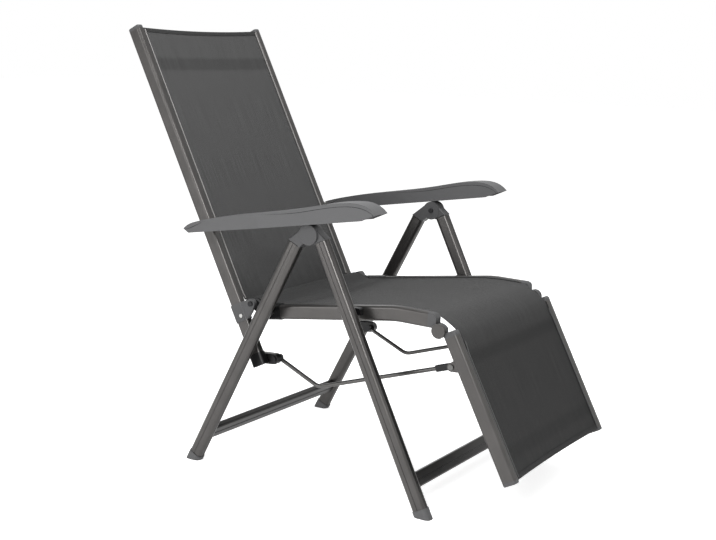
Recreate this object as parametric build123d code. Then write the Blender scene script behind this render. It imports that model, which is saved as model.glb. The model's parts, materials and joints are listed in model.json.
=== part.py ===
from build123d import *
import math
import os

# Reclining garden armchair with a footrest that rises as the back goes down, at its real size in millimetres.
# Side-view points are (forward, up) from the rear feet: forward is -Y and up is +Z.
# The sitter faces -Y, so the sitter's left is +X. Every piece is drawn on the left and mirrored for the right.
# At the end the whole chair is moved so that the origin is under its centre, on the floor.

# Driving points of the side view
rear_foot = (0.0, 0.0)
rear_leg_top = (305.0, 594.5)
front_foot = (676.0, 0.0)
front_leg_top = (378.0, 605.0)
knuckle = (348.5, 620.0)            # where both legs and the armrest meet
back_top = (-243.0, 1084.0)         # ends of the back's tube
back_low = (173.0, 267.8)
hip = (146.0, 420.0)                # hinge of the back on the seat
arm_pivot = (2.0, 604.0)            # bolt of the armrest on the back's tube
seat_rear = (176.0, 404.0)          # ends of the seat rail, and where it turns down a little
seat_bend = (560.0, 454.4)
seat_front = (646.0, 452.6)
knee = (677.0, 432.0)               # hinge of the footrest on the seat
foot_top = (705.7, 421.8)           # ends of the footrest's tube
foot_low = (870.5, 108.5)
rod_rear = (204.0, 284.0)           # where the push rod sits on the back's socket
rod_bend = (325.0, 230.0)
rod_front = (700.0, 347.0)          # where the push rod turns on the footrest
seat_on_leg = (209.5, 408.4)        # bolt of the seat rail on the rear leg
rest_on_leg = (458.6, 441.0)        # stud of the front leg under the seat rail's saddle

# Places across the chair, from its middle plane
rail_centre = 245.0                 # tubes of the seat, back and footrest
leg_centre = 290.0
rod_centre = 212.0
arm_inner = 279.0
arm_outer = 331.0

# Rail, the extruded tube of seat, back and footrest
rail_width = 22.0
rail_depth = 36.0
rail_corner = 7.0
rail_wall = 1.8
channel_inset = 5.6                 # of the cloth's channel from the rail's inner face
channel_radius = 3.0
channel_slot = 2.4
rail_bend_radius = 260.0

# Leg tube
leg_width = 26.0
leg_depth = 36.0
leg_corner = 10.0
leg_wall = 1.8
groove_width = 3.0
groove_depth = 1.0
leg_start = 12.0                    # from the floor to the tube's end, along the leg

# Cloth
cloth = 1.6
cloth_height = 13.0                 # above the rail's axis
bead_radius = 2.5
back_cloth_start = 13.0             # bare rail at each end of each cloth
back_cloth_end = 199.0
seat_cloth_start = 16.0
seat_cloth_end = 8.0
foot_cloth_start = 34.0
foot_cloth_end = 12.0

# Fits
pin_clearance = 0.05
plug_clearance = 0.05
flat_gap = 0.3
overrun = 2.0

# Angles
quarter_turn = 90.0
half_turn = 180.0

# Pins, heads and lugs
pin_radius = 4.0
head_radius = 6.5
head_height = 3.0
head_round = 1.2
collar_radius = 8.0
hip_lug_radius = 12.0
knee_seat_eye = 12.0                # of the seat's lug, and of the footrest's
knee_foot_eye = 17.0
knee_disc_radius = 17.5
knee_disc_height = 6.0
lug_clearance = 0.7
stud_radius = 5.0
stud_reach = 16.0                   # of the front leg's stud towards the seat
plug_length = 30.0
axle_plug = 10.0                    # solid end of the hip axle's tube

# Knuckle of the legs
hub_radius = 24.3
neck_radius = 23.3                  # of the neck where it runs into the hub
neck_reach = 18.0                   # of its inner edge inside the hub
neck_round = 3.0
rear_neck_turn = 240.0              # where the inner edge meets the hub, in degrees
front_neck_turn = 295.0
notch_reach = 73.0                  # of the notch cut between a neck and the other leg
disc_radius = 25.0
disc_height = 5.0
disc_round = 1.5

# Moulded clamp on the back's tube, with its rivet, and the moulded sleeve on the seat rail's rear end
saddle_from_low_end = 139.0
saddle_length = 46.0
clamp_wall = 2.5
rivet_head = 5.0
rivet_below = 9.0                   # the rivet's place from the clamp's middle
rivet_forward = 6.0
rivet_height = 1.8
rivet_round = 0.8
sleeve_length = 60.0
sleeve_wall = 2.0

# Saddle of the seat rail on the front leg's stud
rest_length = 34.0
rest_depth = 16.0
rest_width = 16.0
rest_round = 5.0

# Caps and feet
crown_height = 9.0
crown_round = 4.0
hip_end = (6.0, 5.0, 5.0)           # each moulded end's length, and its rounds on the sitting and the under side
seat_knee_end = (22.0, 14.0, 4.0)
foot_knee_end = (12.0, 11.0, 3.0)
knee_root_share = 0.35              # of the rail's depth that each knee lug springs from
foot_wall = 1.6
foot_height = 20.0

# Cross tubes
bar_depth = 36.0
bar_width = 18.0
bar_wall = 1.6
bar_corner = 5.0
bar_along_leg = 84.0                # above the floor, along the leg
spreader_radius = 8.0
spreader_wall = 1.5
spreader_height = -7.0              # from the rail's axis
back_spreaders = (40.0, 520.0)      # from the top of the back
seat_spreaders = (62.0, 340.0)      # from the rear of the seat
foot_spreaders = (150.0, 330.0)     # from the top of the footrest

# Armrest
arm_wall = 3.0
arm_line_depth = 0.8                # of the line along the sides, and its place and width under the top
arm_line_drop = 8.0
arm_line_width = 1.4
arm_low_rear = (-4.0, 588.0)
arm_low_front = (508.0, 671.0)
arm_tip = (546.0, 688.0)
arm_shoulder = (522.0, 704.0)
arm_crown = (464.0, 708.0)
arm_top_middle = (330.0, 681.0)
arm_top_rear = (24.0, 620.0)
arm_shoulder_rear = (-6.0, 608.5)
arm_rear_end = (-21.0, 597.0)
arm_rear_width = 36.0
arm_taper = 240.0                   # from the rear end to the full width
boss_radius = 11.0
boss_length = 16.0
arm_plan_reach = 20.0               # of the plan cut above and below the armrest

# Ratchet under the armrest
ratchet_width = 10.0
ratchet_pitch = 13.0
ratchet_teeth = 8
ratchet_tooth = 5.0                 # radius of each notch
ratchet_height = 16.0

# Push rod, its rear eye, its open front clip, and what they sit on
rod_radius = 5.0
rod_bend_radius = 38.0
eye_wall = 3.5
eye_width = 11.0
clip_start = 50.0                   # from the front stud back along the rod
clip_end = 14.0
clip_depth = 16.0
clip_width = 14.0
clip_round = 3.0
clip_slack = 3.1                    # round the stud, because the chair's linkage isn't quite circular
clip_wall = 4.0
clip_turn = 38.0                    # the way the clip's mouth faces, up from forward
clip_neck_share = 0.7
socket_length = 30.0                # of the black end on the back's tube
socket_wall = 2.0
socket_lug_radius = 13.0
lug_thickness = 3.5
lug_length = 38.0


# Side-view geometry

def point(place, across=0.0):
    return Vector(across, -place[0], place[1])


def toward(start, end, distance):
    """The point a distance along the line from start to end."""
    part = distance / math.dist(start, end)
    return (start[0] + (end[0] - start[0]) * part, start[1] + (end[1] - start[1]) * part)


def beside(start, end, distance, offset):
    """The point a distance along the line and an offset to its left."""
    along = toward(start, end, distance)
    length = math.dist(start, end)
    return (along[0] - (end[1] - start[1]) / length * offset, along[1] + (end[0] - start[0]) / length * offset)


def around(centre, radius, turn):
    return (centre[0] + radius * math.cos(math.radians(turn)), centre[1] + radius * math.sin(math.radians(turn)))


def section_plane(start, end, across, distance=0.0):
    """The plane square to a tube: its X is the chair's X and its Y points to the sitting side."""
    place = toward(start, end, distance) if distance else start
    return Plane(origin=point(place, across), x_dir=(1, 0, 0), z_dir=point(end) - point(start))


def tube(profile, start, end, across):
    return extrude(section_plane(start, end, across) * profile, amount=math.dist(start, end))


def slab(face, inner, outer):
    """A side-view face thickened between two places across the chair."""
    plane = Plane(origin=(outer, 0, 0), x_dir=(0, -1, 0), z_dir=(-1, 0, 0))
    return extrude(plane * face, amount=outer - inner)


def disc(centre, radius, inner, outer):
    return slab(Pos(*centre) * Circle(radius), inner, outer)


def outline(*places):
    return make_face(Polyline(*places, close=True))


def lug(eye, radius, first, second, inner, outer):
    """A flat lug from an edge to a round eye about a pin."""
    web = make_hull([*(Pos(*eye) * Circle(radius)).edges(), Line(first, second)])
    return slab(web, inner, outer) - disc(eye, pin_radius + pin_clearance, inner - overrun, outer + overrun)


def square_ends(solid, radius):
    """The two faces across the chair get rounded edges."""
    faces = solid.faces().sort_by(Axis.X)
    return fillet([*faces[0].edges(), *faces[-1].edges()], radius)


def headed(solid, radius):
    return fillet(solid.faces().sort_by(Axis.X)[-1].edges(), radius)


# Profiles

def leg_profile():
    """The leg's hollow section, with a shallow groove down its outer and its front face."""
    outer = RectangleRounded(leg_width, leg_depth, leg_corner)
    hollow = RectangleRounded(leg_width - 2 * leg_wall, leg_depth - 2 * leg_wall, leg_corner - leg_wall)
    side_groove = Pos(leg_width / 2, 0) * Rectangle(2 * groove_depth, groove_width)
    front_groove = Pos(0, -leg_depth / 2) * Rectangle(groove_width, 2 * groove_depth)
    return outer - hollow - side_groove - front_groove


def rail_profile():
    """The rail's hollow section, with the cloth's channel on its inner side."""
    channel = Pos(channel_inset - rail_width / 2, cloth_height)
    outer = RectangleRounded(rail_width, rail_depth, rail_corner)
    hollow = RectangleRounded(rail_width - 2 * rail_wall, rail_depth - 2 * rail_wall, rail_corner - rail_wall)
    housing = (channel * Circle(channel_radius + rail_wall)) & outer
    slot = Pos(-rail_width / 2, cloth_height) * Rectangle(2 * channel_inset, channel_slot)
    return (outer - hollow) + housing - channel * Circle(channel_radius) - slot


def cloth_profile():
    """The cloth's section from rail to rail, with a round bead in each channel."""
    reach = rail_centre - rail_width / 2 + channel_inset
    sheet = Pos(0, cloth_height) * Rectangle(2 * reach, cloth)
    left, right = (Pos(side * reach, cloth_height) * Circle(bead_radius) for side in (1, -1))
    return sheet + left + right


# Legs

def leg_tube(foot, top):
    return tube(leg_profile(), toward(foot, top, leg_start), top, leg_centre)


def rear_leg():
    hole = disc(seat_on_leg, pin_radius + pin_clearance, leg_centre - leg_width, leg_centre)
    return leg_tube(rear_foot, rear_leg_top) - hole


def front_leg():
    hole = disc(rest_on_leg, stud_radius + pin_clearance, leg_centre - leg_width, leg_centre)
    return leg_tube(front_foot, front_leg_top) - hole


def foot_cap(foot, top):
    """A boot round the end of the leg, cut flat on the floor."""
    outer = RectangleRounded(leg_width + 2 * foot_wall, leg_depth + 2 * foot_wall, leg_corner + foot_wall)
    inner = RectangleRounded(leg_width + 2 * plug_clearance, leg_depth + 2 * plug_clearance,
                             leg_corner + plug_clearance)
    boot = tube(outer, toward(foot, top, -foot_height), toward(foot, top, foot_height), leg_centre)
    boot -= tube(inner, toward(foot, top, leg_start), toward(foot, top, foot_height + overrun), leg_centre)
    below = Box(2 * leg_width, 4 * leg_depth, 2 * foot_height, align=(Align.CENTER, Align.CENTER, Align.MAX))
    return boot - Pos(leg_centre, -foot[0], 0) * below


def leg_knuckle(foot, top, side, turn, hub_inner, hub_outer):
    """A leg's moulded end: a plug in the tube, a neck and half the width of the hub."""
    length = math.dist(foot, top)
    inner, outer = leg_centre - leg_width / 2, leg_centre + leg_width / 2
    edge = [beside(foot, top, length, offset * leg_depth / 2) for offset in (side, -side)]
    hull = make_hull([*(Pos(*knuckle) * Circle(neck_radius)).edges(), Line(*edge)])
    neck = square_ends(slab(hull, inner, outer), neck_round)
    corner = around(knuckle, notch_reach, turn - side * quarter_turn)
    between = outline(edge[0], around(knuckle, neck_reach, turn), corner)
    neck -= slab(between, inner - overrun, outer + overrun)
    free_inner = inner - overrun if hub_inner > inner else hub_outer
    free_outer = outer + overrun if hub_outer < outer else hub_inner
    neck -= disc(knuckle, hub_radius + lug_clearance, free_inner, free_outer)
    plug = RectangleRounded(leg_width - 2 * (leg_wall + plug_clearance), leg_depth - 2 * (leg_wall + plug_clearance),
                            leg_corner - leg_wall - plug_clearance)
    body = neck + disc(knuckle, hub_radius, hub_inner, hub_outer)
    body += tube(plug, toward(foot, top, length - plug_length), top, leg_centre)
    return body - disc(knuckle, pin_radius + pin_clearance, inner - overrun, outer + overrun)


def rear_knuckle():
    inner = leg_centre - leg_width / 2
    return leg_knuckle(rear_foot, rear_leg_top, -1, rear_neck_turn, inner, leg_centre - flat_gap / 2)


def front_knuckle():
    outer = leg_centre + leg_width / 2
    return leg_knuckle(front_foot, front_leg_top, 1, front_neck_turn, leg_centre + flat_gap / 2, outer)


def knuckle_bolt():
    inner = leg_centre - leg_width / 2
    shaft = disc(knuckle, pin_radius, inner - flat_gap, leg_centre + leg_width / 2 + flat_gap)
    return shaft + disc(knuckle, head_radius, inner - flat_gap - head_height, inner - flat_gap)


def knuckle_disc():
    """The round cap on the hub's outer face."""
    face = leg_centre + leg_width / 2 + flat_gap
    return headed(disc(knuckle, disc_radius, face, face + disc_height), disc_round)


def cross_tube(foot, top):
    """The flat tube between a pair of legs near the floor, in line with them, with a groove along it."""
    reach = leg_centre - leg_width / 2
    centre = toward(foot, top, bar_along_leg)
    outer = RectangleRounded(bar_width, bar_depth, bar_corner)
    inner = RectangleRounded(bar_width - 2 * bar_wall, bar_depth - 2 * bar_wall, bar_corner - bar_wall)
    groove = Pos(bar_width / 2, 0) * Rectangle(2 * groove_depth, groove_width)
    tilt = quarter_turn - math.degrees(math.atan2(top[1] - foot[1], top[0] - foot[0]))
    return slab(Pos(*centre) * (Rot(0, 0, -tilt) * (outer - inner - groove)), -reach, reach)


def rest_stud():
    """The stud on the front leg that carries the seat rail's saddle."""
    face = leg_centre - leg_width / 2
    return disc(rest_on_leg, stud_radius, face - stud_reach, leg_centre)


# Seat

def seat_path(across, trim_start, trim_end):
    places = (toward(seat_rear, seat_bend, trim_start), seat_bend, toward(seat_front, seat_bend, trim_end))
    return FilletPolyline(*(point(place, across) for place in places), radius=rail_bend_radius)


def seat_rail():
    profile = section_plane(seat_rear, seat_bend, rail_centre) * rail_profile()
    rail = sweep(profile, path=seat_path(rail_centre, 0, 0))
    return rail - disc(seat_on_leg, pin_radius + pin_clearance, rail_centre - rail_width, rail_centre + rail_width)


def seat_sling():
    profile = section_plane(seat_rear, seat_bend, 0, seat_cloth_start) * cloth_profile()
    return sweep(profile, path=seat_path(0, seat_cloth_start, seat_cloth_end))


def spreader(start, end, distance):
    """A round cross tube between two rails, under the cloth."""
    ring = Circle(spreader_radius) - Circle(spreader_radius - spreader_wall)
    reach = rail_centre - rail_width / 2
    return slab(Pos(*beside(start, end, distance, spreader_height)) * ring, -reach, reach)


def inner_layer():
    return rail_centre - rail_width / 2, rail_centre - flat_gap / 2


def outer_layer():
    return rail_centre + flat_gap / 2, rail_centre + rail_width / 2


def crown(inside, end, height, round_over):
    """The plastic cap that makes up the last of a rail, rounded over."""
    plane = section_plane(inside, end, rail_centre, math.dist(inside, end) - height)
    cap = extrude(plane * RectangleRounded(rail_width, rail_depth, rail_corner), amount=height)
    return fillet(cap.faces().sort_by(Axis(plane.origin, plane.z_dir))[-1].edges(), round_over)


def sleeve(start, end, distance, length, wall):
    """A moulded sleeve round a rail, open on the inner side where the cloth runs."""
    outer = RectangleRounded(rail_width + 2 * wall, rail_depth + 2 * wall, rail_corner + wall)
    inner = RectangleRounded(rail_width + 2 * plug_clearance, rail_depth + 2 * plug_clearance,
                             rail_corner + plug_clearance)
    opening = Pos(rail_wall - rail_width, 0) * Rectangle(rail_width, 2 * rail_depth)
    return extrude(section_plane(start, end, rail_centre, distance) * (outer - inner - opening), amount=length)


def moulded_end(inside, end, sizes, sitting, wall=0.0):
    """A rail's moulded end with its rounds in side view; sitting is 1 where the sitting side is on the left."""
    length, over_round, under_round = sizes
    reach = math.dist(inside, end)
    near = [beside(inside, end, reach, side * sitting * (rail_depth / 2 + wall)) for side in (-1, 1)]
    far = [beside(inside, end, reach + length, side * sitting * (rail_depth / 2 + wall)) for side in (1, -1)]
    face = outline(*near, *far)
    for place, radius in zip(far, (over_round, under_round)):
        face = fillet(face.vertices().sort_by_distance(Vector(*place))[0], radius)
    section = RectangleRounded(rail_width + 2 * wall, rail_depth + 2 * wall, rail_corner + wall)
    body = slab(face, rail_centre - rail_width / 2, rail_centre + rail_width / 2 + wall)
    return body & extrude(section_plane(inside, end, rail_centre, reach) * section, amount=length)


def knee_root(inside, end, length, sitting):
    """The two points of a moulded end's far face from which its knee lug springs."""
    reach = math.dist(inside, end) + length
    low = -rail_depth / 2
    return [beside(inside, end, reach, sitting * offset) for offset in (low, low + rail_depth * knee_root_share)]


def seat_hip_lug():
    """The moulded end of the seat rail, with a sleeve over the rail, that carries the hip pin above the rail."""
    low, high = (beside(seat_rear, seat_bend, 0, side * rail_depth / 2) for side in (-1, 1))
    cap = moulded_end(seat_bend, seat_rear, hip_end, -1, sleeve_wall)
    cap -= disc(hip, hip_lug_radius + lug_clearance, outer_layer()[0] - flat_gap, rail_centre + rail_width)
    cap += sleeve(seat_rear, seat_bend, 0, sleeve_length, sleeve_wall)
    cap -= disc(seat_on_leg, pin_radius + pin_clearance, rail_centre, leg_centre)
    return cap + lug(hip, hip_lug_radius, low, high, *inner_layer())


def knee_end():
    """The moulded front end of the seat rail that carries the knee pin."""
    cap = moulded_end(seat_bend, seat_front, seat_knee_end, 1)
    cap -= disc(knee, knee_foot_eye + lug_clearance, outer_layer()[0] - flat_gap, rail_centre + rail_width)
    root = knee_root(seat_bend, seat_front, seat_knee_end[0], 1)
    return cap + lug(knee, knee_seat_eye, *root, *inner_layer())


def rest_saddle():
    """The block on the seat rail that sits over the front leg's stud, open below."""
    face = rail_centre + rail_width / 2
    block = Pos(*rest_on_leg) * RectangleRounded(rest_length, 2 * rest_depth, rest_round)
    below = Pos(*rest_on_leg) * Rectangle(2 * rest_length, 2 * rest_depth, align=(Align.CENTER, Align.MAX))
    seat = Pos(*rest_on_leg) * Circle(stud_radius + flat_gap)
    return slab(block - below - seat, face, face + rest_width)


def leg_bolt():
    """The bolt that carries the seat rail on the rear leg, with its spacer; it ends inside the leg's tube."""
    inner, face = rail_centre - rail_width / 2, rail_centre + rail_width / 2 + sleeve_wall
    leg_face = leg_centre - leg_width / 2
    shaft = disc(seat_on_leg, pin_radius, inner - flat_gap, leg_centre)
    head = disc(seat_on_leg, head_radius, inner - flat_gap - head_height, inner - flat_gap)
    return shaft + head + disc(seat_on_leg, collar_radius, face + flat_gap, leg_face - flat_gap)


def hip_axle():
    """The tube under the cloth between the two hip hinges, with a pin and a head at each end."""
    inner, outer = rail_centre - rail_width / 2 - flat_gap, rail_centre + rail_width / 2 + flat_gap
    half = slab(Pos(*hip) * (Circle(spreader_radius) - Circle(spreader_radius - spreader_wall)), 0, inner)
    half += disc(hip, spreader_radius, inner - axle_plug, inner) + disc(hip, pin_radius, inner, outer)
    half += disc(hip, head_radius, outer, outer + head_height)
    return half + half.mirror(Plane.YZ)


def knee_pin():
    """The knee's pin, with the round disc that shows on its outer side."""
    inner, outer = rail_centre - rail_width / 2 - flat_gap, rail_centre + rail_width / 2 + flat_gap
    face = headed(disc(knee, knee_disc_radius, outer, outer + knee_disc_height), disc_round)
    return face + disc(knee, pin_radius, inner, outer) + disc(knee, head_radius, inner - head_height, inner)


# Back

def back_tube():
    tube_part = tube(rail_profile(), toward(back_top, back_low, crown_height), back_low, rail_centre)
    return tube_part - disc(arm_pivot, pin_radius + pin_clearance, rail_centre - rail_width, rail_centre + rail_width)


def straight_sling(start, end, bare_start, bare_end):
    return tube(cloth_profile(), toward(start, end, bare_start), toward(end, start, bare_end), 0)


def saddle_middle():
    return math.dist(back_top, back_low) - saddle_from_low_end


def back_hip_lug():
    """The moulded clamp on the back's tube that reaches forward to the hip pin."""
    first, second = (beside(back_top, back_low, saddle_middle() + side * saddle_length / 2, rail_depth / 2 + flat_gap)
                     for side in (-1, 1))
    clamp = sleeve(back_top, back_low, saddle_middle() - saddle_length / 2, saddle_length, clamp_wall)
    return clamp + lug(hip, hip_lug_radius, first, second, *outer_layer())


def hip_plate():
    """The round plate of the rivet on the clamp's outer face."""
    face = rail_centre + rail_width / 2 + clamp_wall
    centre = beside(back_top, back_low, saddle_middle() + rivet_below, rivet_forward)
    return headed(disc(centre, rivet_head, face, face + rivet_height), rivet_round)


def eye_faces():
    """The two faces of the push rod's eyes, across the chair."""
    return rod_centre - eye_width / 2, rod_centre + eye_width / 2


def rod_socket():
    """The black end of the back's tube, with the ear that carries the push rod."""
    length = math.dist(back_top, back_low)
    face = rail_centre - rail_width / 2
    outer = RectangleRounded(rail_width + 2 * socket_wall, rail_depth + 2 * socket_wall, rail_corner + socket_wall)
    inner = RectangleRounded(rail_width + 2 * plug_clearance, rail_depth + 2 * plug_clearance,
                             rail_corner + plug_clearance)
    boot = tube(outer, toward(back_low, back_top, socket_length), toward(back_low, back_top, -socket_wall), rail_centre)
    boot -= tube(inner, toward(back_low, back_top, socket_length + overrun), back_low, rail_centre)
    edge = [toward(back_top, back_low, length - along) for along in (socket_length, 0)]
    return boot + lug(rod_rear, socket_lug_radius, *edge, eye_faces()[1] + flat_gap, face - plug_clearance)


def rod_pin():
    """The pin of the push rod's rear eye, through the socket's ear."""
    inner = eye_faces()[0] - flat_gap
    outer = rail_centre - rail_width / 2 + flat_gap
    body = disc(rod_rear, pin_radius, inner, outer) + disc(rod_rear, collar_radius, inner - head_height, inner)
    return body + disc(rod_rear, collar_radius, outer, outer + head_height)


# Armrest

def arm_side(inset=0.0, drop=0.0):
    """The armrest's side view: a straight underside, a long flat top and a drooping nose."""
    lowered = Vector(0, -inset)
    rear = Vector(*arm_rear_end) + Vector(inset, 0)
    nose = Vector(*arm_tip) - Vector(inset, 0)
    over = [Vector(*place) + lowered for place in (arm_top_rear, arm_top_middle, arm_crown, arm_shoulder)]
    over.insert(0, Vector(*arm_shoulder_rear) + lowered + Vector(inset / 2, 0))
    below = [Vector(*place) - Vector(0, drop) for place in (arm_low_rear, arm_low_front)]
    top = Spline(rear, *over, nose)
    low = Polyline(nose - Vector(0, drop), below[1], below[0], rear - Vector(0, drop))
    ends = [Line(nose, nose - Vector(0, drop)), Line(rear, rear - Vector(0, drop))] if drop else []
    return make_face([top, low, *ends])


def arm_plan(margin=0.0):
    """The armrest seen from above, narrower at its rear end."""
    rear, nose = arm_rear_end[0] + margin, arm_tip[0] - margin
    inner, outer = arm_inner + margin, arm_outer - margin
    rear_outer = arm_inner + arm_rear_width - margin
    full = arm_rear_end[0] + arm_taper
    return outline((inner, -rear), (rear_outer, -rear), (outer, -full), (outer, -nose), (inner, -nose))


def arm_column(margin):
    """The armrest's outline seen from above, as tall as the armrest and more."""
    low, high = arm_rear_end[1] - 2 * arm_plan_reach, arm_crown[1] + arm_plan_reach
    return extrude(Pos(0, 0, low) * arm_plan(margin), amount=high - low)


def arm_block(side, margin):
    """A side view thickened to the armrest's width and cut to its outline seen from above."""
    return slab(side, arm_inner + margin, arm_outer - margin) & arm_column(margin)


def arm_line():
    """The cutter for the fine line along the armrest's sides, under its top."""
    band = arm_side(arm_line_drop, 2 * arm_wall) - arm_side(arm_line_drop + arm_line_width, 2 * arm_wall)
    return slab(band, arm_inner - overrun, arm_outer + overrun) - arm_column(arm_line_depth)


def armrest():
    """A moulded shell, open below, with a line along its sides and a boss for its bolt."""
    block = arm_block(arm_side(), 0)
    shell = block - arm_block(arm_side(arm_wall, 2 * arm_wall), arm_wall) - arm_line()
    boss = disc(arm_pivot, boss_radius, arm_inner + arm_wall / 2, arm_inner + boss_length) & block
    hole = disc(arm_pivot, pin_radius + pin_clearance, arm_inner - overrun, arm_inner + boss_length + overrun)
    return shell + boss - hole


def arm_bolt():
    """The bolt of the armrest through the back's tube, with the spacer between them."""
    inner, face = rail_centre - rail_width / 2 - flat_gap, rail_centre + rail_width / 2 + flat_gap
    body = disc(arm_pivot, pin_radius, inner, arm_inner + boss_length - flat_gap)
    body += disc(arm_pivot, head_radius, inner - head_height, inner)
    return body + disc(arm_pivot, collar_radius, face, arm_inner - flat_gap)


def ratchet():
    """The notched strip under the armrest that rides over the legs' hub."""
    slope = math.degrees(math.atan2(arm_low_front[1] - arm_low_rear[1], arm_low_front[0] - arm_low_rear[0]))
    length = ratchet_pitch * (ratchet_teeth + 1)
    strip = Rectangle(length, ratchet_height, align=(Align.MIN, Align.MIN))
    for tooth in range(ratchet_teeth):
        strip -= Pos((tooth + 1) * ratchet_pitch, 0) * Circle(ratchet_tooth)
    place = around(knuckle, hub_radius + flat_gap, slope + quarter_turn)
    start = around(place, ratchet_pitch, slope + half_turn)
    middle = leg_centre + flat_gap
    face = Pos(*start) * (Rot(0, 0, slope) * strip)
    return slab(face, middle - ratchet_width / 2, middle + ratchet_width / 2)


# Footrest

def foot_tube():
    return tube(rail_profile(), foot_top, toward(foot_low, foot_top, crown_height), rail_centre)


def foot_knuckle():
    """The moulded upper end of the footrest's tube that turns on the knee pin."""
    cap = moulded_end(foot_low, foot_top, foot_knee_end, -1)
    cap -= disc(knee, knee_seat_eye + lug_clearance, rail_centre - rail_width, inner_layer()[1] + flat_gap)
    root = knee_root(foot_low, foot_top, foot_knee_end[0], -1)
    body = cap + lug(knee, knee_foot_eye, *root, *outer_layer())
    return body - disc(knee, pin_radius + pin_clearance, rail_centre - rail_width, rail_centre + rail_width)


def rod_lug():
    """The plate on the footrest's inner face that carries the push rod's stud behind the tube."""
    face = rail_centre - rail_width / 2
    along = math.dist(foot_top, rod_front)
    first, second = (beside(foot_top, foot_low, along + side * lug_length / 2, 0) for side in (-1, 1))
    return lug(rod_front, head_radius + clip_wall, first, second, face - lug_thickness, face)


def rod_stud():
    """The stud that the push rod's clip holds, with its head, its spacer and its clinched end."""
    face = rail_centre - rail_width / 2
    inner, outer = eye_faces()[0] - flat_gap, eye_faces()[1] + flat_gap
    body = disc(rod_front, pin_radius, inner, face + flat_gap)
    body += disc(rod_front, collar_radius, inner - head_height, inner)
    body += disc(rod_front, collar_radius, outer, face - lug_thickness - flat_gap)
    return body + disc(rod_front, head_radius, face + flat_gap, face + flat_gap + head_height)


# Push rod

def push_rod():
    """The bent wire from the back's low end to the footrest, with an eye at its rear."""
    inner, outer = eye_faces()
    bore = pin_radius + pin_clearance
    start = toward(rod_rear, rod_bend, bore + eye_wall / 2)
    end = toward(rod_front, rod_bend, (clip_start + clip_end) / 2)
    path = FilletPolyline(point(start, rod_centre), point(rod_bend, rod_centre), point(end, rod_centre),
                          radius=rod_bend_radius)
    wire = sweep(section_plane(start, rod_bend, rod_centre) * Circle(rod_radius), path=path)
    eye = disc(rod_rear, bore + eye_wall, inner, outer)
    return wire + eye - disc(rod_rear, bore, inner - overrun, outer + overrun)


def rod_clip():
    """The black clip on the rod's front end, whose open mouth snaps over the stud."""
    inner, outer = eye_faces()
    bore = pin_radius + clip_slack
    length = math.dist(rod_bend, rod_front)
    sleeve = tube(RectangleRounded(clip_width, clip_depth, clip_round), toward(rod_front, rod_bend, clip_start),
                  toward(rod_front, rod_bend, clip_end), rod_centre)
    ring = Pos(*rod_front) * Circle(bore + clip_wall)
    root = [beside(rod_bend, rod_front, length - clip_end - overrun, side * clip_depth / 2 * clip_neck_share)
            for side in (-1, 1)]
    mouth = Pos(*rod_front) * (Rot(0, 0, clip_turn) * Rectangle(4 * bore, 2 * (pin_radius + flat_gap),
                                                                align=(Align.MIN, Align.CENTER)))
    hook = make_hull([*ring.edges(), Line(*root)]) - Pos(*rod_front) * Circle(bore) - mouth
    socket = tube(Circle(rod_radius + plug_clearance), toward(rod_front, rod_bend, clip_start + overrun),
                  toward(rod_front, rod_bend, (clip_start + clip_end) / 2), rod_centre)
    return sleeve + slab(hook, inner, outer) - socket


# The pieces: those drawn once and mirrored to a left and a right node, pairs in one node, and single pieces
handed = {
    "rear_leg": rear_leg(), "front_leg": front_leg(),
    "rear_knuckle": rear_knuckle(), "front_knuckle": front_knuckle(),
    "seat_rail": seat_rail(), "seat_hip_lug": seat_hip_lug(), "seat_knee_end": knee_end(),
    "back_tube": back_tube(), "back_hip_lug": back_hip_lug(), "rod_socket": rod_socket(),
    "armrest": armrest(), "armrest_ratchet": ratchet(),
    "footrest_tube": foot_tube(), "footrest_knuckle": foot_knuckle(),
    "push_rod": push_rod(),
}
pairs = {
    "rear_feet": foot_cap(rear_foot, rear_leg_top), "front_feet": foot_cap(front_foot, front_leg_top),
    "knuckle_bolts": knuckle_bolt(), "knuckle_discs": knuckle_disc(), "seat_rest_studs": rest_stud(),
    "seat_saddles": rest_saddle(), "seat_leg_bolts": leg_bolt(),
    "knee_pins": knee_pin(), "back_caps": crown(back_low, back_top, crown_height, crown_round),
    "hip_plates": hip_plate(), "arm_bolts": arm_bolt(),
    "footrest_caps": crown(foot_top, foot_low, crown_height, crown_round),
    "rod_lugs": rod_lug(), "rod_studs": rod_stud(), "rod_pins": rod_pin(), "rod_clips": rod_clip(),
}
single = {
    "hip_pins": [hip_axle()],
    "rear_crossbar": [cross_tube(rear_foot, rear_leg_top)],
    "front_crossbar": [cross_tube(front_foot, front_leg_top)],
    "back_spreaders": [spreader(back_top, back_low, distance) for distance in back_spreaders],
    "seat_spreaders": [spreader(seat_rear, seat_bend, distance) for distance in seat_spreaders],
    "footrest_spreaders": [spreader(foot_top, foot_low, distance) for distance in foot_spreaders],
    "back_sling": [straight_sling(back_top, back_low, back_cloth_start, back_cloth_end)],
    "seat_sling": [seat_sling()],
    "footrest_sling": [straight_sling(foot_top, foot_low, foot_cloth_start, foot_cloth_end)],
}


def all_nodes():
    """Every node's name and its solids."""
    nodes = {}
    for name, part in handed.items():
        nodes[f"{name}_left"] = [part]
        nodes[f"{name}_right"] = [part.mirror(Plane.YZ)]
    for name, part in pairs.items():
        nodes[name] = [part, part.mirror(Plane.YZ)]
    nodes.update(single)
    return nodes


nodes = all_nodes()
whole = Compound(children=[solid for parts in nodes.values() for part in parts for solid in part.solids()])
box = whole.bounding_box()
to_centre = Pos(0, -(box.min.Y + box.max.Y) / 2, -box.min.Z)
print("moved by", to_centre.position, "box", box.size)

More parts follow.
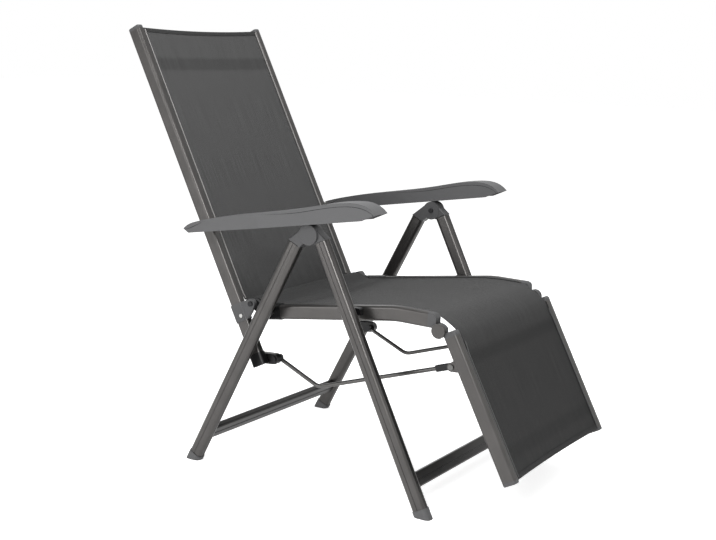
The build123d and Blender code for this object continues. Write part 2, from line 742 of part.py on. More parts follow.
os.makedirs("parts", exist_ok=True)
for name, parts in nodes.items():
    solids = [to_centre * solid for part in parts for solid in part.solids()]
    export_step(Compound(children=solids), f"parts/{name}.step")
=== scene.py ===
import bpy
import json
import math
from mathutils import Matrix, Vector


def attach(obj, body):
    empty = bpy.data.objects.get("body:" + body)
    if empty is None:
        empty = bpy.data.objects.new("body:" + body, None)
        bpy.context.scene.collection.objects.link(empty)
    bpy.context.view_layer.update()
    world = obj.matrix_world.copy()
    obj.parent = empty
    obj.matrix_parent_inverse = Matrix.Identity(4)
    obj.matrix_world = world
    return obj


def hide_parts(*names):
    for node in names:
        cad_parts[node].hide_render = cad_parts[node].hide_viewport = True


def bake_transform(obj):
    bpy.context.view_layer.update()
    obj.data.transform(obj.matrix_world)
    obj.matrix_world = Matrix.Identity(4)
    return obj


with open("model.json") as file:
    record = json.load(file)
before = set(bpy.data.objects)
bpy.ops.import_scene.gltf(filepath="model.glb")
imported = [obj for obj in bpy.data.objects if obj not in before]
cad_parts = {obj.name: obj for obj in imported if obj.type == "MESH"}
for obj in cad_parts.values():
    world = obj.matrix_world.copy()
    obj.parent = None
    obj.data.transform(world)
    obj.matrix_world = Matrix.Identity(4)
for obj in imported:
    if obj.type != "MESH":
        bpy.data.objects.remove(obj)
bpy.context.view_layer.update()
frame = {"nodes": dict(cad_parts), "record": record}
scene = bpy.context.scene
print("frame loaded:", len(frame["nodes"]), "nodes")

# side-view points of the rails' axes and the hinges, (forward, up) in millimetres from the rear feet
drawing = {
    "shift": 313.686,              # the rear feet stand this far behind the chair's middle
    "backTop": (-243.0, 1084.0),
    "backLow": (173.0, 267.8),
    "seatRear": (176.0, 404.0),
    "seatBend": (560.0, 454.4),
    "seatFront": (646.0, 452.6),
    "footTop": (705.7, 421.8),
    "footLow": (870.5, 108.5),
    "hip": (146.0, 420.0),
    "knee": (677.0, 432.0),
}


def place(point, across=0.0):
    # a side-view point, at a distance across the chair, as a place in the frame in metres
    return Vector((across, drawing["shift"] - point[0], point[1])) / 1000.0


def unit(start, end):
    length = math.dist(start, end)
    return ((end[0] - start[0]) / length, (end[1] - start[1]) / length)


def beside(start, end, along, offset):
    # a point a distance along the line and an offset to its left, in side view
    ux, uy = unit(start, end)
    return (start[0] + ux * along - uy * offset, start[1] + uy * along + ux * offset)


def linear(hexColour):
    channels = [int(hexColour[i:i + 2], 16) / 255.0 for i in (1, 3, 5)]
    return [c / 12.92 if c <= 0.04045 else ((c + 0.055) / 1.055) ** 2.4 for c in channels] + [1.0]


def addNode(tree, kind, settings=None, links=None):
    # adds a node, sets its properties or its sockets by name (in6 is socket 6), and links sockets to
    # (node, output) pairs
    node = tree.nodes.new(kind)

    def socketOf(name):
        return node.inputs[int(name[2:]) if name.startswith("in") and name[2:].isdigit() else name]

    for name, value in (settings or {}).items():
        if hasattr(node, name):
            setattr(node, name, value)
        else:
            socketOf(name).default_value = value
    for name, (source, output) in (links or {}).items():
        tree.links.new(source.outputs[output], socketOf(name))
    return node


def newMaterial(name, settings):
    material = bpy.data.materials.new(name)
    material.use_nodes = True
    tree = material.node_tree
    tree.nodes.clear()
    shader = addNode(tree, "ShaderNodeBsdfPrincipled", settings)
    addNode(tree, "ShaderNodeOutputMaterial", {}, {"Surface": (shader, "BSDF")})
    coords = addNode(tree, "ShaderNodeTexCoord")
    return material, tree, shader, coords


def perMetre(millimetres):
    return 1000.0 / millimetres


# Powder-coated aluminium: a metallic paint baked on, with a very fine orange peel, so a face turns from dark
# to a soft bright band as it faces the light; the coat is a little duller in places
coatSettings = {"colour": "#4D4B4A", "shade": "#3D3C3B", "metallic": 0.85, "roughness": 0.26, "duller": 0.12,
                "peel": 1.3, "peelDeep": 0.2, "bump": 0.1, "cloud": 60.0}


def powderCoat(name, settings):
    material, tree, shader, coords = newMaterial(name, {"Metallic": settings["metallic"]})
    peel = addNode(tree, "ShaderNodeTexNoise", {"Scale": perMetre(settings["peel"]), "Detail": 3.0},
                   {"Vector": (coords, "Object")})
    cloud = addNode(tree, "ShaderNodeTexNoise", {"Scale": perMetre(settings["cloud"]), "Detail": 3.0},
                    {"Vector": (coords, "Object")})
    mix = addNode(tree, "ShaderNodeMix", {"data_type": "RGBA", "in6": linear(settings["shade"]),
                                          "in7": linear(settings["colour"])}, {"in0": (cloud, "Fac")})
    rough = addNode(tree, "ShaderNodeMapRange",
                    {"To Min": settings["roughness"], "To Max": settings["roughness"] + settings["duller"]},
                    {"Value": (cloud, "Fac")})
    bump = addNode(tree, "ShaderNodeBump",
                   {"Strength": settings["bump"], "Distance": settings["peelDeep"] / 1000.0},
                   {"Height": (peel, "Fac")})
    tree.links.new(mix.outputs[2], shader.inputs["Base Color"])
    tree.links.new(rough.outputs["Result"], shader.inputs["Roughness"])
    tree.links.new(bump.outputs["Normal"], shader.inputs["Normal"])
    return material


# Moulded plastic, by its look polypropylene: a spark-eroded mould leaves an even fine grain, so highlights are
# broad and soft
plasticGrain = {"ior": 1.49, "smoother": 0.05, "rougher": 0.08, "deep": 0.3}


def mouldedPlastic(name, settings):
    material, tree, shader, coords = newMaterial(name, {"IOR": plasticGrain["ior"],
                                                        "Specular IOR Level": settings["gloss"]})
    grain = addNode(tree, "ShaderNodeTexVoronoi", {"Scale": perMetre(settings["grain"])},
                    {"Vector": (coords, "Object")})
    cloud = addNode(tree, "ShaderNodeTexNoise", {"Scale": perMetre(settings["cloud"]), "Detail": 4.0},
                    {"Vector": (coords, "Object")})
    mix = addNode(tree, "ShaderNodeMix", {"data_type": "RGBA", "in6": linear(settings["shade"]),
                                          "in7": linear(settings["colour"])}, {"in0": (cloud, "Fac")})
    rough = addNode(tree, "ShaderNodeMapRange",
                    {"To Min": settings["roughness"] - plasticGrain["smoother"],
                     "To Max": settings["roughness"] + plasticGrain["rougher"]}, {"Value": (cloud, "Fac")})
    bump = addNode(tree, "ShaderNodeBump",
                   {"Strength": settings["bump"], "Distance": plasticGrain["deep"] / 1000.0},
                   {"Height": (grain, "Distance")})
    tree.links.new(mix.outputs[2], shader.inputs["Base Color"])
    tree.links.new(rough.outputs["Result"], shader.inputs["Roughness"])
    tree.links.new(bump.outputs["Normal"], shader.inputs["Normal"])
    return material


# Steel, turned and then zinc plated or blackened: bright, with faint turning marks that are duller
turnedMarks = {"bump": 0.1, "deep": 0.2}


def turnedSteel(name, settings):
    material, tree, shader, coords = newMaterial(name, {"Metallic": 1.0, "Base Color": linear(settings["colour"])})
    marks = addNode(tree, "ShaderNodeTexNoise", {"Scale": perMetre(settings["marks"]), "Detail": 4.0},
                    {"Vector": (coords, "Object")})
    rough = addNode(tree, "ShaderNodeMapRange", {"To Min": settings["low"], "To Max": settings["high"]},
                    {"Value": (marks, "Fac")})
    bump = addNode(tree, "ShaderNodeBump",
                   {"Strength": turnedMarks["bump"], "Distance": turnedMarks["deep"] / 1000.0},
                   {"Height": (marks, "Fac")})
    tree.links.new(rough.outputs["Result"], shader.inputs["Roughness"])
    tree.links.new(bump.outputs["Normal"], shader.inputs["Normal"])
    return material


# Coated polyester yarns in a plain weave that repeats every two yarns: each crossing is a small bead with a dark
# gap beside it. Some warp yarns are lighter along their length, and their streaks are drawn about three yarns
# wide, because a single yarn is too fine to show in the render
clothFinish = {"colour": "#404040", "light": "#646464", "gap": "#202020", "repeat": 2.2, "roughness": 0.85,
               "ior": 1.42, "gloss": 0.2, "bump": 0.55, "deep": 0.3, "streakWide": 3.0, "streakLong": 160.0}


def wovenCloth(name, settings, paintedBands):
    # each band of painted shade has its middle in millimetres along the cloth from the top, and half its width
    material, tree, shader, coords = newMaterial(name, {"Roughness": settings["roughness"], "IOR": settings["ior"],
                                                        "Specular IOR Level": settings["gloss"]})
    uv = addNode(tree, "ShaderNodeUVMap", {"uv_map": "weave"})
    parts = addNode(tree, "ShaderNodeSeparateXYZ", {}, {"Vector": (uv, "UV")})
    waves = []
    for axis in ("X", "Y"):
        turn = addNode(tree, "ShaderNodeMath", {"operation": "MULTIPLY",
                                                "in1": 2 * math.pi * perMetre(settings["repeat"])},
                       {"in0": (parts, axis)})
        waves.append(addNode(tree, "ShaderNodeMath", {"operation": "SINE"}, {"in0": (turn, "Value")}))
    weave = addNode(tree, "ShaderNodeMath", {"operation": "MULTIPLY"},
                    {"in0": (waves[0], "Value"), "in1": (waves[1], "Value")})
    level = addNode(tree, "ShaderNodeMapRange", {"From Min": -1.0, "From Max": 1.0}, {"Value": (weave, "Value")})
    stretch = addNode(tree, "ShaderNodeMapping",
                      {"Scale": (perMetre(settings["streakWide"]), perMetre(settings["streakLong"]), 1.0)},
                      {"Vector": (uv, "UV")})
    streak = addNode(tree, "ShaderNodeTexNoise", {"Scale": 1.0, "Detail": 3.0}, {"Vector": (stretch, "Vector")})
    base = addNode(tree, "ShaderNodeMix", {"data_type": "RGBA", "in6": linear(settings["colour"]),
                                           "in7": linear(settings["light"])}, {"in0": (streak, "Fac")})
    mix = addNode(tree, "ShaderNodeMix", {"data_type": "RGBA", "in6": linear(settings["gap"])},
                  {"in0": (level, "Result"), "in7": (base, "Result")})
    # painted shade: each band multiplies the cloth's colour darker
    for paintedBand in paintedBands:
        away = addNode(tree, "ShaderNodeMath", {"operation": "SUBTRACT", "in1": paintedBand["middle"] / 1000.0},
                       {"in0": (parts, "Y")})
        far = addNode(tree, "ShaderNodeMath", {"operation": "ABSOLUTE"}, {"in0": (away, "Value")})
        edge = addNode(tree, "ShaderNodeMapRange", {"From Min": (paintedBand["half"] - paintedBand["soft"]) / 1000.0,
                                                    "From Max": (paintedBand["half"] + paintedBand["soft"]) / 1000.0,
                                                    "To Min": paintedBand["shade"], "To Max": 1.0},
                       {"Value": (far, "Value")})
        mix = addNode(tree, "ShaderNodeMix", {"data_type": "RGBA", "blend_type": "MULTIPLY", "in0": 1.0},
                      {"in6": (mix, 2), "in7": (edge, "Result")})
    tree.links.new(mix.outputs[2], shader.inputs["Base Color"])
    bump = addNode(tree, "ShaderNodeBump", {"Strength": settings["bump"], "Distance": settings["deep"] / 1000.0},
                   {"Height": (weave, "Value")})
    tree.links.new(bump.outputs["Normal"], shader.inputs["Normal"])
    return material


coatRail = powderCoat("powder coated aluminium", coatSettings)
coatWire = powderCoat("powder coated wire", {**coatSettings, "colour": "#4E4D4C", "shade": "#454443"})
darkBar = powderCoat("dark coated cross bar", {**coatSettings, "colour": "#363534", "shade": "#2B2A2A"})
knucklePlastic = mouldedPlastic("moulded knuckle plastic", {
    "colour": "#3D3D3E", "shade": "#363637", "cloud": 35.0, "grain": 1.1, "bump": 0.15,
    "roughness": 0.5, "gloss": 0.4})
armPlastic = mouldedPlastic("moulded armrest plastic", {
    "colour": "#4B4B4C", "shade": "#434344", "cloud": 45.0, "grain": 1.0, "bump": 0.2,
    "roughness": 0.52, "gloss": 0.4})
blackPlastic = mouldedPlastic("black moulded plastic", {
    "colour": "#0F0F10", "shade": "#0A0A0B", "cloud": 25.0, "grain": 1.0, "bump": 0.1,
    "roughness": 0.33, "gloss": 0.25})
footPlastic = mouldedPlastic("moulded foot", {
    "colour": "#4A4A4B", "shade": "#424243", "cloud": 20.0, "grain": 1.4, "bump": 0.2,
    "roughness": 0.6, "gloss": 0.4})
zincPlate = turnedSteel("zinc plated steel", {"colour": "#9C9C9A", "marks": 0.8, "low": 0.22, "high": 0.4})
dullZinc = turnedSteel("dulled zinc plate", {"colour": "#5E5E5D", "marks": 0.8, "low": 0.4, "high": 0.55})
blackSteel = turnedSteel("blackened steel", {"colour": "#2B2B2C", "marks": 0.8, "low": 0.35, "high": 0.5})

finishes = {"frame": coatRail, "knuckle": knucklePlastic, "arm": armPlastic, "fitting": blackPlastic,
            "pin": zincPlate, "dark_pin": blackSteel, "wire": coatWire, "foot": footPlastic}
ownFinish = {"rod_studs": dullZinc, "front_crossbar": darkBar, "rear_crossbar": darkBar}    # unlike their slot's
slotOf = {part["node"]: part["material_slot"] for part in frame["record"]["subparts"]}
for name, node in frame["nodes"].items():
    node.data.materials.clear()
    node.data.materials.append(ownFinish.get(name) or finishes.get(slotOf[name], blackPlastic))
print("materials done")


# The sling is one band of cloth over back, seat and footrest, made in five sheets that meet where it bends
cloth = {
    "thickness": 1.6,
    "height": 13.0,                # of the cloth's middle above the rail's axis
    "bareTop": 9.0,                # bare rail beyond each end of the cloth
    "bareLow": 7.0,
    "leaveBack": 166.0,            # where the cloth leaves each rail, from the rail's end
    "startSeat": 16.0,
    "endSeat": 8.0,
    "startFoot": 12.0,
    "bendReach": 40.0,             # the seat rail's bend begins and ends this far from its corner
    "overHip": (2.6, 10.4),        # the cloth's middle from the hip axle and from the knee's hinge, forward and up
    "overKnee": (17.8, 11.8),
    "hipWay": (0.999, -0.052),     # and its direction there
    "kneeWay": (0.848, -0.530),
    "curves": {                    # each curve's pull at its start and at its end, and its number of points
        "hip": (5.0, 20.0, 16),
        "startSeat": (15.0, 15.0, 10),
        "bendEnd": (26.0, 26.0, 12),
        "knee": (19.0, 34.0, 14),
        "startFoot": (20.0, 12.0, 14),
    },
    "step": 7.0,                   # length of a strip along the chair
    "across": 56,                  # cells across it
    "halfRail": 236.6,             # half width in the rails' channels, at the rails' ends, and between the rails
    "halfEnd": 233.2,
    "halfFree": 230.6,
    "channels": [                  # from a mark to a mark, each with an offset, and the widths before and after
        ("top", 4.0, "leaveBack", -6.0, "halfEnd", "halfFree"),
        ("startSeat", 0.0, "endSeat", 0.0, "halfFree", "halfFree"),
        ("startFoot", 22.0, "low", -4.0, "halfFree", "halfEnd"),
    ],
    "beyond": 8.0,                 # those widths hold this far past a channel's ends
    "narrow": 18.0,                # length over which one width turns into the next
    "sagBack": 6.0,                # how deep the cloth sags between the rails
    "sagSeat": 7.0,
    "sagFoot": 3.0,
    "sagRise": 120.0,              # length over which the sag grows from the hips, the knees and the hems
    "sagHem": 0.45,                # share of the sag that is left at a hem
    "dipTop": 5.0,                 # the hems curve in by this much between the rails
    "dipLow": 3.5,
    "dipReach": 90.0,              # length over which that fades
    "smoothAngle": 50.0,
}


def bezier(start, startWay, end, endWay, curve):
    # a smooth side-view curve that leaves and arrives along the given directions
    pullIn, pullOut, count = curve
    a = (start[0] + startWay[0] * pullIn, start[1] + startWay[1] * pullIn)
    b = (end[0] - endWay[0] * pullOut, end[1] - endWay[1] * pullOut)
    points = []
    for i in range(1, count + 1):
        t = i / count
        weights = ((1 - t) ** 3, 3 * t * (1 - t) ** 2, 3 * t * t * (1 - t), t ** 3)
        points.append(tuple(sum(w * p[k] for w, p in zip(weights, (start, a, b, end))) for k in (0, 1)))
    return points


def slingPath():
    # the cloth's middle line in side view, with the distance along it of each place where the cloth changes
    d, h, curves, reach = drawing, cloth["height"], cloth["curves"], cloth["bendReach"]
    hipWay, kneeWay = cloth["hipWay"], cloth["kneeWay"]
    backLength, footLength = math.dist(d["backTop"], d["backLow"]), math.dist(d["footTop"], d["footLow"])
    backWay, seatWay = unit(d["backTop"], d["backLow"]), unit(d["seatRear"], d["seatBend"])
    frontWay, footWay = unit(d["seatBend"], d["seatFront"]), unit(d["footTop"], d["footLow"])
    seatLength, frontLength = math.dist(d["seatRear"], d["seatBend"]), math.dist(d["seatBend"], d["seatFront"])
    overHip = (d["hip"][0] + cloth["overHip"][0], d["hip"][1] + cloth["overHip"][1])
    overKnee = (d["knee"][0] + cloth["overKnee"][0], d["knee"][1] + cloth["overKnee"][1])
    top = beside(d["backTop"], d["backLow"], cloth["bareTop"], h)
    leaveBack = beside(d["backTop"], d["backLow"], backLength - cloth["leaveBack"], h)
    startSeat = beside(d["seatRear"], d["seatBend"], cloth["startSeat"], h)
    bendStart = beside(d["seatRear"], d["seatBend"], seatLength - reach, h)
    bendEnd = beside(d["seatBend"], d["seatFront"], reach, h)
    endSeat = beside(d["seatBend"], d["seatFront"], frontLength - cloth["endSeat"], h)
    startFoot = beside(d["footTop"], d["footLow"], cloth["startFoot"], h)
    low = beside(d["footTop"], d["footLow"], footLength - cloth["bareLow"], h)
    runs = [("top", [top]),
            ("leaveBack", [leaveBack]),
            ("hip", bezier(leaveBack, backWay, overHip, hipWay, curves["hip"])),
            ("startSeat", bezier(overHip, hipWay, startSeat, seatWay, curves["startSeat"])),
            ("bendStart", [bendStart]),
            ("bendEnd", bezier(bendStart, seatWay, bendEnd, frontWay, curves["bendEnd"])),
            ("endSeat", [endSeat]),
            ("knee", bezier(endSeat, frontWay, overKnee, kneeWay, curves["knee"])),
            ("startFoot", bezier(overKnee, kneeWay, startFoot, footWay, curves["startFoot"])),
            ("low", [low])]
    points, marks = [], {}
    for name, run in runs:
        points += run
        marks[name] = sum(math.dist(a, b) for a, b in zip(points, points[1:]))
    distances = [0.0]
    for a, b in zip(points, points[1:]):
        distances.append(distances[-1] + math.dist(a, b))
    return points, distances, marks


pathPoints, pathDistances, marks = slingPath()


def onPath(distance):
    # the side-view point and direction at a distance along the cloth
    last = len(pathPoints) - 2
    k = next((i for i in range(last + 1) if pathDistances[i + 1] >= distance), last)
    share = (distance - pathDistances[k]) / (pathDistances[k + 1] - pathDistances[k])
    a, b = pathPoints[k], pathPoints[k + 1]
    ahead = pathPoints[min(k + 2, last + 1)]
    before = pathPoints[max(k - 1, 0)]
    first, second = unit(before, b) if k else unit(a, b), unit(a, ahead) if k < last else unit(a, b)
    way = (first[0] * (1 - share) + second[0] * share, first[1] * (1 - share) + second[1] * share)
    length = math.hypot(*way)
    return (a[0] + (b[0] - a[0]) * share, a[1] + (b[1] - a[1]) * share), (way[0] / length, way[1] / length)


def smooth(value, low, high):
    t = min(max((value - low) / (high - low), 0.0), 1.0)
    return t * t * (3 - 2 * t)


def halfWidth(s):
    # wide inside the channels, narrow over the hips and the knees, and beside the rails' end caps
    wide, narrow, beyond = cloth["halfRail"], cloth["narrow"], cloth["beyond"]
    for first, firstOffset, last, lastOffset, before, after in cloth["channels"]:
        low, high = marks[first] + firstOffset, marks[last] + lastOffset
        if low - beyond <= s <= high + beyond:
            start = cloth[before] + (wide - cloth[before]) * smooth(s, low, low + narrow)
            end = cloth[after] + (wide - cloth[after]) * (1 - smooth(s, high - narrow, high))
            return min(start, end)
    return cloth["halfFree"]


def sagAt(s):
    rise = cloth["sagRise"]
    spans = [("top", "hip", cloth["sagBack"]), ("hip", "knee", cloth["sagSeat"]), ("knee", "low", cloth["sagFoot"])]
    for first, last, deep in spans:
        low, high = marks[first], marks[last]
        if low <= s <= high:
            leftLow = cloth["sagHem"] if first == "top" else 0.0
            leftHigh = cloth["sagHem"] if last == "low" else 0.0
            near = leftLow + (1 - leftLow) * smooth(s, low, low + rise)
            return deep * near * (leftHigh + (1 - leftHigh) * (1 - smooth(s, high - rise, high)))
    return 0.0


# soft folds that fan out from the corners where the cloth leaves the back's rails, on the back and on the seat
crease = {
    "deep": 1.3,
    "corners": [("leaveBack", -1.0, 190.0), ("startSeat", 1.0, 170.0)],     # way along the cloth, and reach
    "rise": (8.0, 50.0),           # distances from the corner between which the folds grow
    "fadeFrom": 60.0,              # and from which they fade, up to their reach
    "flat": (12.0, 40.0),          # none over the hip axle, and full depth from the second distance
    "folds": [(18.0, 5.0), (36.0, 6.0), (57.0, 6.0)],     # angle from straight across and width, in degrees
}


def creaseAt(s, x):
    total = 0.0
    inward = cloth["halfRail"] - abs(x)
    for mark, way, reach in crease["corners"]:
        along = (s - marks[mark]) * way
        if along < 0:
            continue
        distance = math.hypot(along, inward)
        angle = math.degrees(math.atan2(along, inward))
        fade = smooth(distance, *crease["rise"]) * (1 - smooth(distance, crease["fadeFrom"], reach))
        for middle, wide in crease["folds"]:
            total += fade * math.exp(-((angle - middle) / wide) ** 2)
    return crease["deep"] * total * smooth(abs(s - marks["hip"]), *crease["flat"])


def clothPoint(s, x, lift=0.0):
    # a point of the cloth's middle surface, lifted off it towards the sitter
    (d, z), (wx, wz) = onPath(min(max(s, 0.0), marks["low"]))
    u = x / cloth["halfRail"]
    up = lift + creaseAt(s, x) - sagAt(s) * (1 - u * u)
    return place((d - wz * up, z + wx * up), x)


def alongCloth(s, distance):
    # the step of that many millimetres along the cloth, where it lies at s
    wx, wz = onPath(min(max(s, 0.0), marks["low"]))[1]
    return place((wx * distance, wz * distance)) - place((0.0, 0.0))


def dipped(s, x, top, low):
    # rows near the hems curve in between the rails
    u = min(abs(x) / cloth["halfEnd"], 1.0)
    bow = 1 - u * u
    if top:
        s += cloth["dipTop"] * bow * (1 - smooth(s, 0.0, cloth["dipReach"]))
    if low:
        s -= cloth["dipLow"] * bow * smooth(s, marks["low"] - cloth["dipReach"], marks["low"])
    return s


def deselectAll():
    if bpy.context.object and bpy.context.object.mode != "OBJECT":
        bpy.ops.object.mode_set(mode="OBJECT")
    bpy.ops.object.select_all(action="DESELECT")


def pick(piece):
    deselectAll()
    piece.select_set(True)
    bpy.context.view_layer.objects.active = piece


def dress(piece, name, material):
    piece.name = name
    piece.data.name = name
    piece.data.materials.clear()
    piece.data.materials.append(material)
    return piece


def applyAll(piece):
    pick(piece)
    for modifier in list(piece.modifiers):
        bpy.ops.object.modifier_apply(modifier=modifier.name)
    bpy.ops.object.transform_apply(location=True, rotation=True, scale=True)


def clothGrid(name, across, lines, pointAt):
    # a grid primitive whose points are then drawn onto the cloth, with its UV map in metres of cloth
    deselectAll()
    bpy.ops.mesh.primitive_grid_add(x_subdivisions=across, y_subdivisions=lines, size=2.0, location=(0, 0, 0))
    piece = bpy.context.object
    mesh = piece.data
    spots = []
    for vertex in mesh.vertices:
        vertex.co, spot = pointAt(vertex.co.x, (vertex.co.y + 1) / 2)
        spots.append(spot)
    layer = mesh.uv_layers[0]
    layer.name = "weave"
    for loop in mesh.loops:
        layer.data[loop.index].uv = spots[loop.vertex_index]
    return piece


def thicken(piece, thickness, offset=0.0):
    wall = piece.modifiers.new("thickness", "SOLIDIFY")
    wall.thickness = thickness / 1000.0
    wall.offset = offset
    applyAll(piece)


# Painted shade: the cloth's darker bands are where the photograph has them: narrow bands of painted shadow over
# what look like cross tubes, and broad painted shade round the hips and down the footrest, where less light comes
# through from behind. The modelled tubes lie elsewhere, because their places are guesses
paintedShadeBands = [
    {"middle": 98.5, "half": 17.0, "soft": 5.0, "shade": 0.74},                            # top of the back
    {"middle": marks["startSeat"] + 55.0, "half": 16.0, "soft": 9.0, "shade": 0.8},        # rear of the seat
    {"middle": marks["low"] - 287.0, "half": 15.0, "soft": 7.0, "shade": 0.8},             # top of the footrest
    {"middle": marks["low"] - 57.0, "half": 15.0, "soft": 7.0, "shade": 0.82},             # and its lower end
    {"middle": marks["hip"], "half": 90.0, "soft": 80.0, "shade": 0.54},                   # round the hips
    {"middle": marks["low"] - 150.0, "half": 200.0, "soft": 60.0, "shade": 0.44},          # the whole footrest
]
slingCloth = wovenCloth("woven sling cloth", clothFinish, paintedShadeBands)
hemCloth = wovenCloth("folded sling hem", {**clothFinish, "colour": "#2F2F2F", "light": "#3A3A3A"}, [])


def slingSheet(name, first, last, top=False, low=False):
    start, end = marks[first], marks[last]
    lines = max(int((end - start) / cloth["step"]), 6)

    def pointAt(u, v):
        s = start + (end - start) * v
        x = u * halfWidth(s)
        s = dipped(s, x, top, low)
        return clothPoint(s, x), (x / 1000.0, s / 1000.0)

    piece = clothGrid(name, cloth["across"], lines, pointAt)
    thicken(piece, cloth["thickness"])
    bpy.ops.object.shade_smooth_by_angle(angle=math.radians(cloth["smoothAngle"]))
    return dress(piece, name, slingCloth)


# The bead along the cloth's edges is a plastic cord in a casing of the cloth: on the back it is painted paler, a
# painted highlight for where it catches the light as a smooth line, and on the seat and the footrest it is painted
# darker, a painted shade for where it lies in the rail's shade
bead = {
    "radius": 1.7,
    "up": 3.2,                     # of its middle, off the cloth's
    "in": 2.0,                     # of its middle, from the cloth's edge
    "spread": 3.4,                 # most that the edge it follows is wider than the cloth between the rails
    "step": 12.0,                  # between its points
}
beadFinish = {"cloud": 20.0, "grain": 1.2, "bump": 0.2, "roughness": 0.5, "gloss": 0.4}
# painted highlight: a paler copy of the bead plastic, for the back
paintedLitBead = mouldedPlastic("cloth covered bead", {**beadFinish, "colour": "#7C7A79", "shade": "#6E6C6B"})
# painted shade: a darker copy of the bead plastic, for the seat and the footrest
paintedShadedBead = mouldedPlastic("painted shade bead", {**beadFinish, "colour": "#3C3C3C", "shade": "#343434"})


def slingBeads(name, first, last, material, trimStart=0.0, trimEnd=0.0):
    # the round bead along each edge of the cloth, proud beside the rail
    start, end = marks[first] + trimStart, marks[last] - trimEnd
    count = max(int((end - start) / bead["step"]), 5)
    halves = []
    for side in (-1, 1):
        curve = bpy.data.curves.new(name, "CURVE")
        curve.dimensions = "3D"
        curve.bevel_depth = bead["radius"] / 1000.0
        curve.bevel_resolution = 2
        curve.use_fill_caps = True
        spline = curve.splines.new("POLY")
        spline.points.add(count)
        for i in range(count + 1):
            s = start + (end - start) * i / count
            edge = min(halfWidth(s), cloth["halfFree"] + bead["spread"]) - bead["in"]
            spline.points[i].co = (*clothPoint(s, side * edge, bead["up"]), 1.0)
        holder = bpy.data.objects.new(name, curve)
        scene.collection.objects.link(holder)
        halves.append(holder)
    deselectAll()
    for holder in halves:
        holder.select_set(True)
    bpy.context.view_layer.objects.active = halves[0]
    bpy.ops.object.convert(target="MESH")
    bpy.ops.object.join()
    piece = bpy.context.object
    bpy.ops.object.shade_smooth()
    return dress(piece, name, material)


hem = {
    "width": 10.0,
    "thickness": 1.2,
    "proud": 1.5,                  # of the folded part's middle, off the cloth's
    "over": 1.4,                   # how far the fold stands beyond the cloth's edge
    "turn": (0.4, 0.9),            # where the fold begins: from the edge, and its share of proud
    "sides": 1.2,                  # narrower than the cloth on each side
}


def slingHem(name, last):
    # the cloth's end, folded round and sewn down, as one strip round the edge from face to face
    edge = marks["low"] if last else marks["top"]
    way = -1.0 if last else 1.0
    face = [(hem["width"] * share, hem["proud"]) for share in (1.0, 0.6, 0.2)]
    face.append((hem["turn"][0], hem["proud"] * hem["turn"][1]))
    outline = face + [(-hem["over"], 0.0)] + [(inset, -lift) for inset, lift in reversed(face)]

    def pointAt(u, v):
        k = min(int(round(v * (len(outline) - 1))), len(outline) - 1)
        inset, lift = outline[k]
        x = u * (cloth["halfEnd"] - hem["sides"])
        s = dipped(edge, x, not last, last)
        position = clothPoint(s, x, lift) + alongCloth(s, inset * way)
        return position, (x / 1000.0, (s + (inset + lift) * way) / 1000.0)

    piece = clothGrid(name, cloth["across"], len(outline) - 1, pointAt)
    thicken(piece, hem["thickness"])
    bpy.ops.object.shade_smooth_by_angle(angle=math.radians(cloth["smoothAngle"]))
    return dress(piece, name, hemCloth)


stitch = {
    "length": 3.2,
    "wide": 0.9,
    "round": 0.2,
    "pitch": 4.6,
    "row": 7.5,                    # from the hem's edge
    "sides": 6.0,                  # without stitches on each side
}


def hemStitches(name, last):
    # one row of lockstitch along the hem, one short thread modelled and copied
    edge = marks["low"] if last else marks["top"]
    way = -1.0 if last else 1.0
    deselectAll()
    bpy.ops.mesh.primitive_cylinder_add(vertices=6, radius=stitch["wide"] / 2000.0, depth=stitch["length"] / 1000.0,
                                        location=(0, 0, 0), rotation=(0, math.pi / 2, 0))
    pattern = bpy.context.object
    bpy.ops.object.transform_apply(location=True, rotation=True, scale=True)
    bpy.ops.object.mode_set(mode="EDIT")
    bpy.ops.mesh.select_all(action="SELECT")
    bpy.ops.mesh.bevel(offset=stitch["round"] / 1000.0, segments=1, affect="EDGES")
    bpy.ops.object.mode_set(mode="OBJECT")
    half = cloth["halfEnd"] - stitch["sides"]
    copies = []
    for i in range(int(2 * half / stitch["pitch"])):
        x = -half + stitch["pitch"] * (i + 0.5)
        s = dipped(edge, x, not last, last)
        copy = pattern.copy()
        copy.data = pattern.data.copy()
        copy.location = clothPoint(s, x, hem["proud"] + hem["thickness"] / 2) + alongCloth(s, stitch["row"] * way)
        scene.collection.objects.link(copy)
        copies.append(copy)
    deselectAll()
    for copy in copies:
        copy.select_set(True)
    bpy.context.view_layer.objects.active = copies[0]
    bpy.ops.object.join()
    piece = bpy.context.object
    bpy.data.objects.remove(pattern)
    applyAll(piece)
    return dress(piece, name, hemCloth)


backHem, footHem = slingHem("backHem", False), slingHem("footrestHem", True)
backStitches, footStitches = hemStitches("backHemStitches", False), hemStitches("footrestHemStitches", True)
for piece, body in ((backHem, "back"), (backStitches, "back"), (footHem, "footrest"), (footStitches, "footrest")):
    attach(piece, body)

backCloth = slingSheet("backCloth", "top", "hip", top=True)
seatRearCloth = slingSheet("seatRearCloth", "hip", "startSeat")
seatCloth = slingSheet("seatCloth", "startSeat", "endSeat")
seatFrontCloth = slingSheet("seatFrontCloth", "endSeat", "knee")
footrestCloth = slingSheet("footrestCloth", "knee", "low", low=True)
backBeads = slingBeads("backBeads", "top", "leaveBack", paintedLitBead, trimStart=4.0, trimEnd=3.0)
seatBeads = slingBeads("seatBeads", "startSeat", "endSeat", paintedShadedBead)
footrestBeads = slingBeads("footrestBeads", "startFoot", "low", paintedShadedBead, trimStart=8.0, trimEnd=4.0)

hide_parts("back_sling")
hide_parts("seat_sling")
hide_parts("footrest_sling")

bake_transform(backCloth)
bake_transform(seatRearCloth)
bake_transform(seatFrontCloth)
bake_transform(footrestCloth)
for piece, body in ((backBeads, "back"), (seatCloth, "seat"), (seatBeads, "seat"), (footrestBeads, "footrest")):
    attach(piece, body)
print("sling done:", {name: round(value, 1) for name, value in marks.items()})
